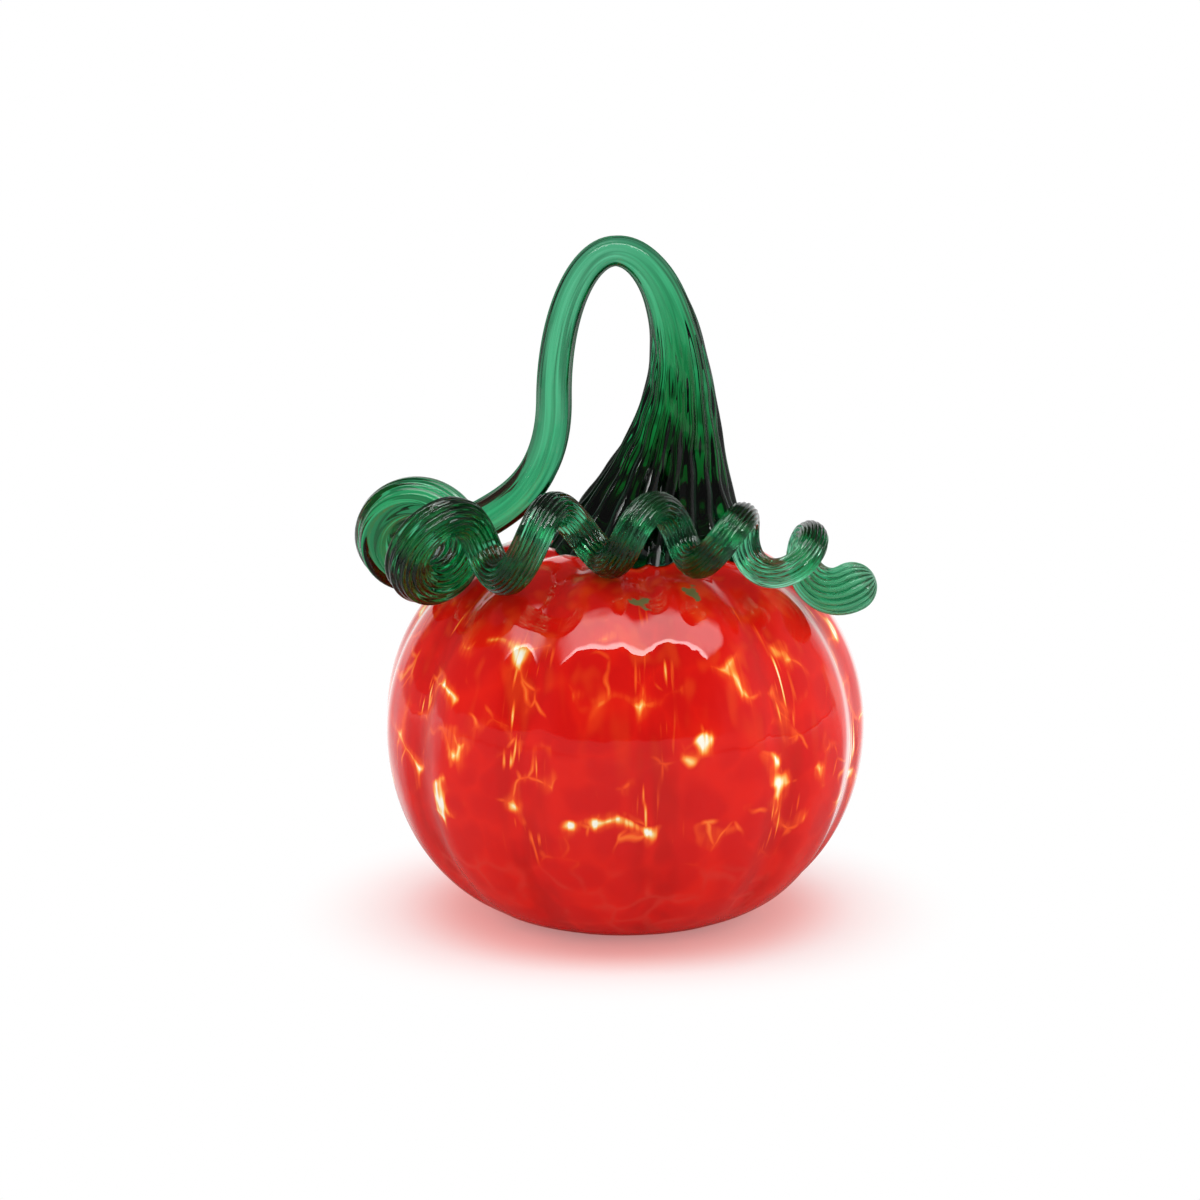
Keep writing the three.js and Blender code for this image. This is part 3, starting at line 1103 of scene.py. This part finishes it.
    def build(self) -> bpy.types.Object:
        """Skins the whole gather as one closed piece.

        Returns:
            The gather, dressed.
        """
        rail = self._rail()
        rim = self._rim(rail)
        share = np.linspace(0.0, 1.0, self.foot_steps)[:, None] ** self.foot_crowding
        rising = rim + share * (self.foot_length - rim)
        lengths = rail.along[rail.along > self.foot_length + self.step / 2]
        drawn = np.repeat(lengths[:, None], len(rim), axis=1)
        foot, rod = self._skin(rail, rising), self._skin(rail, drawn)
        under, tip = self._underside(foot[0]), self._tip(rail)
        along = np.concatenate([
            np.broadcast_to(rising[0], under.shape[:2]), rising, drawn,
            np.broadcast_to(drawn[-1], tip.shape[:2]),
        ])
        around = np.broadcast_to(self.turns, along.shape)
        grain = np.stack([np.cos(around), np.sin(around), along], axis=-1)
        poles = under[0].mean(axis=0), rail.points[-1] + rail.ahead[-1] * self.tip_radius
        rings = np.concatenate([under, foot, rod, tip])
        piece = loft("green_stem_and_tendril", rings, poles, self.sharp, grain)
        self.dress(piece)
        return piece

    def _rim(self, rail: Rail) -> Array:
        """Finds where the flared foot comes out of the body.

        Args:
            rail: Middle line of the rod.

        Returns:
            Length along the rod in each column.
        """
        lengths = np.linspace(0.0, self.foot_length, self.rim_samples)
        column = np.arange(len(self.turns))
        points = self._skin(rail, np.repeat(lengths[:, None], len(column), axis=1))
        seat = self.form.surface(points, self.seat_gap)
        middle = self.form.middle
        over = np.linalg.norm(points - middle, axis=-1) - np.linalg.norm(seat - middle, axis=-1)
        last = len(lengths) - 1 - np.argmax((over < 0)[::-1], axis=0)
        below, above = over[last, column], over[last + 1, column]
        return lengths[last] + (lengths[1] - lengths[0]) * below / (below - above)

    def _underside(self, rim: Array) -> Array:
        """Follows the body from the plug in its neck out to the rim of the foot.

        Args:
            rim: Points where the foot meets the body.

        Returns:
            Rings from the bottom of the plug to just short of the rim.
        """
        plug = unit(rim[:, :2]) * self.plug_radius
        share = np.linspace(0.0, 1.0, self.under_steps, endpoint=False)[:, None, None]
        flat = plug[None] + share * (rim[None, :, :2] - plug[None])
        height = np.full(flat.shape[:2] + (1,), self.form.crest)
        over = self.form.surface(np.concatenate([flat, height], axis=-1), self.seat_gap)
        sunk = over[:1].copy()
        sunk[..., 2] = self.form.crest - self.form.neck_sink - self.plug_depth
        return np.concatenate([sunk, over])

    def _tip(self, rail: Rail) -> Array:
        """Rounds off the end bulb.

        Args:
            rail: Middle line of the rod.

        Returns:
            Rings beyond the end of the line.
        """
        last = np.full((1, len(self.turns)), rail.along[-1])
        rings = []
        for angle in np.linspace(0.0, np.pi / 2, self.tip_steps + 1)[1:-1]:
            onward = rail.ahead[-1] * self.tip_radius * math.sin(angle)
            rings.append(self._skin(rail, last, math.cos(angle)) + onward)
        return np.concatenate(rings)

    def dress(self, piece: bpy.types.Object) -> None:
        """Gives the gather its finish and its place in the frame.

        Args:
            piece: The gather.
        """
        piece.data.materials.append(self.finish.material())
        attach(piece, ROOT)
        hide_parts(Solid.STEM.value, Solid.TENDRIL.value)


@dataclass(frozen=True)
class SoftLamp:
    """Soft area lamp that the camera doesn't see."""

    name: str
    place: Point
    size: Range  # width and depth
    power: float  # watts
    turn: Point = (0.0, 0.0, 0.0)

    def build(self) -> bpy.types.Object:
        """Hangs the lamp.

        Returns:
            The lamp.
        """
        light = bpy.data.lights.new(self.name, "AREA")
        light.shape = "RECTANGLE"
        light.size, light.size_y = self.size
        light.energy = self.power
        lamp = put(self.name, light)
        lamp.location = self.place
        lamp.rotation_euler = self.turn
        lamp.visible_camera = False
        return lamp


@dataclass
class Studio:
    """Pale floor, white surroundings with a darker open front, soft lamps and the camera."""

    target: Point = (-0.0058, 0.0, 0.0771)
    distance: float = 0.9
    elevation: float = math.radians(12.0)
    lens: float = 111.75

    floor_size: float = 4.0
    floor_colour: Colour = (0.80, 0.80, 0.80)
    # Painted shade and glow for reflections only: the floor that gloss sees is darker in front and red near
    # the base.
    floor_front: Layer = Layer((0.34, 0.34, 0.34), (("turned", (0.74, 0.10)),))
    floor_near: Layer = Layer((0.52, 0.26, 0.24), (("away", (0.095, 0.05)),))
    # Painted light: a red glow laid into the floor's colour close to the base.
    floor_glow: Layer = Layer((0.78, 0.40, 0.36), (("away", (0.058, 0.034)),))
    floor_white: Range = (0.050, 0.085)  # distances from the middle of the floor
    floor_lift: float = 0.2
    floor_back: Point = (-0.15, 1.0, 0.0)

    ambient: float = 0.58
    room: float = 0.10
    backdrop: Point = (0.15, 1.0, 0.0)
    backdrop_edge: Range = (0.60, 0.74)
    screens: tuple[tuple[Spans, float], ...] = (  # white parts of the room, with their strengths
        ((("rise", (0.14, 0.11)),), 0.30),
        ((("back", backdrop_edge), ("rise", (0.62, 0.40))), 1.0),
        ((("across", (0.55, 0.95)),), 0.35),
        ((("across", (-0.55, -0.95)),), 0.08),
    )

    box: SoftLamp = SoftLamp("overhead_box", (-0.12, -0.10, 0.95), (1.7, 0.8), 15.3)
    box_fade: Spans = (("across", (0.0, 0.34)), ("across", (1.0, 0.94)), ("deep", (0.66, 0.46)))
    box_lip: Range = (0.11, 0.05)
    lip_gain: Range = (2.2, 1.0)  # gain on the lip, and gain everywhere
    fills: tuple[SoftLamp, ...] = (
        SoftLamp("overhead_fill", (0.0, -0.10, 0.95), (1.0, 0.8), 8.5),
        SoftLamp("front_fill", (0.0, -1.4, 0.6), (1.2, 1.0), 4.6, (FILL_TILT, 0.0, 0.0)),
        SoftLamp("left_fill", (-1.2, 0.1, 0.5), (1.0, 0.8), 5.5, (0.0, -FILL_TILT, 0.0)),
        SoftLamp("right_fill", (1.2, 0.1, 0.5), (1.0, 0.8), 7.5, (0.0, FILL_TILT, 0.0)),
    )

    def build(self) -> None:
        """Builds the whole studio: a box that gloss and glass see, and fills that only light."""
        self._view()
        self._floor()
        self._world()
        box = self.box.build()
        self._soften(box)
        box.visible_diffuse = False
        for fill in self.fills:
            lamp = fill.build()
            lamp.visible_glossy = False
            lamp.visible_transmission = False

    def _view(self) -> None:
        """Sets up the camera at the photograph's viewing angle."""
        camera = bpy.data.cameras.new("camera")
        camera.lens = self.lens
        holder = put("camera", camera)
        x, y, z = self.target
        reach = self.distance * math.cos(self.elevation)
        holder.location = (x, y - reach, z + self.distance * math.sin(self.elevation))
        holder.rotation_euler = (math.pi / 2 - self.elevation, 0.0, 0.0)
        bpy.context.scene.camera = holder

    def _floor(self) -> None:
        """Lays the pale floor, which the camera sees as white and which keeps the shadow."""
        half = self.floor_size / 2
        mesh = bpy.data.meshes.new("floor")
        corners = [(-half, -half, 0.0), (half, -half, 0.0), (half, half, 0.0), (-half, half, 0.0)]
        mesh.from_pydata(corners, [], [(0, 1, 2, 3)])
        floor = put("floor", mesh)
        mesh.materials.append(self._paper())

    def _paper(self) -> bpy.types.Material:
        """Makes the floor's material, with a red glow painted near the base and white farther out.

        Returns:
            The finished material.
        """
        material, sheet = node_material("pale_floor")
        place = sheet.add("TexCoord").outputs["Object"]
        path = sheet.add("LightPath").outputs
        glossy = path["Is Glossy Ray"]
        course = sheet.vector("NORMALIZE", place)
        sheet.kept.update(
            away=sheet.vector("LENGTH", place, output="Value"),
            turned=sheet.vector("DOT_PRODUCT", course, self.floor_back, output="Value"),
        )
        mirrored = sheet.laid(self.floor_near, sheet.laid(self.floor_front, self.floor_colour))
        lit = sheet.laid(self.floor_glow, self.floor_colour)
        paper = sheet.add("BsdfDiffuse", {"Color": sheet.blend(glossy, lit, mirrored)})
        seen = sheet.largest(path["Is Camera Ray"], path["Is Transmission Ray"])
        lift = sheet.add("Emission", {"Strength": sheet.product(seen, self.floor_lift)})
        near = sheet.add("AddShader", (paper.outputs[0], lift.outputs[0]))
        back = sheet.vector("DOT_PRODUCT", course, self.backdrop, output="Value")
        backed = sheet.product(glossy, sheet.span(back, self.backdrop_edge))
        share = sheet.product(sheet.span("away", self.floor_white), sheet.largest(seen, backed))
        whole = sheet.mixed(share, near, sheet.add("Emission", {"Strength": 1.0}))
        sheet.add("OutputMaterial", {"Surface": whole.outputs["Shader"]})
        return material

    def _world(self) -> None:
        """Surrounds the object with white, apart from a darker room that gloss and glass see in front."""
        world = bpy.data.worlds.new("studio")
        world.use_nodes = True
        bpy.context.scene.world = world
        sheet = NodeSheet(world.node_tree)
        way = sheet.add("TexCoord").outputs["Generated"]
        across, _, rise = sheet.split(way)
        back = sheet.vector("DOT_PRODUCT", way, self.backdrop, output="Value")
        sheet.kept.update(across=across, rise=rise, back=back)
        shut = sheet.largest(*(sheet.within(spans, strength) for spans, strength in self.screens))
        room = sheet.blend(shut, (self.room,) * 3, WHITE)
        path = sheet.add("LightPath").outputs
        sharp = sheet.largest(path["Is Glossy Ray"], path["Is Transmission Ray"])
        soft = sheet.blend(sharp, (self.ambient,) * 3, room)
        seen = sheet.blend(path["Is Camera Ray"], soft, WHITE)
        sky = sheet.add("Background", {"Color": seen, "Strength": 1.0})
        sheet.add("OutputWorld", {"Surface": sky.outputs["Background"]})

    def _soften(self, lamp: bpy.types.Object) -> None:
        """Fades the box out towards its sides and back, and brightens its front edge.

        Args:
            lamp: The box.
        """
        lamp.data.use_nodes = True
        sheet = NodeSheet(lamp.data.node_tree)
        across, deep, _ = sheet.split(sheet.add("NewGeometry").outputs["Parametric"])
        sheet.kept.update(across=across, deep=deep)
        lip = sheet.math("MULTIPLY_ADD", sheet.span(deep, self.box_lip), *self.lip_gain)
        shine = sheet.add("Emission", {"Strength": sheet.product(sheet.within(self.box_fade), lip)})
        sheet.add("OutputLight", {"Surface": shine.outputs["Emission"]})


def main() -> None:
    """Builds the studio and the pieces in order."""
    logging.basicConfig(level=logging.INFO, format="%(name)s: %(message)s")
    bpy.context.scene.view_settings.view_transform = "Standard"
    Studio().build()
    for maker in (PumpkinBody(), GreenGather()):
        piece = maker.build()
        log.info("%s: %d faces", piece.name, len(piece.data.polygons))


if __name__ == "__main__":
    main()
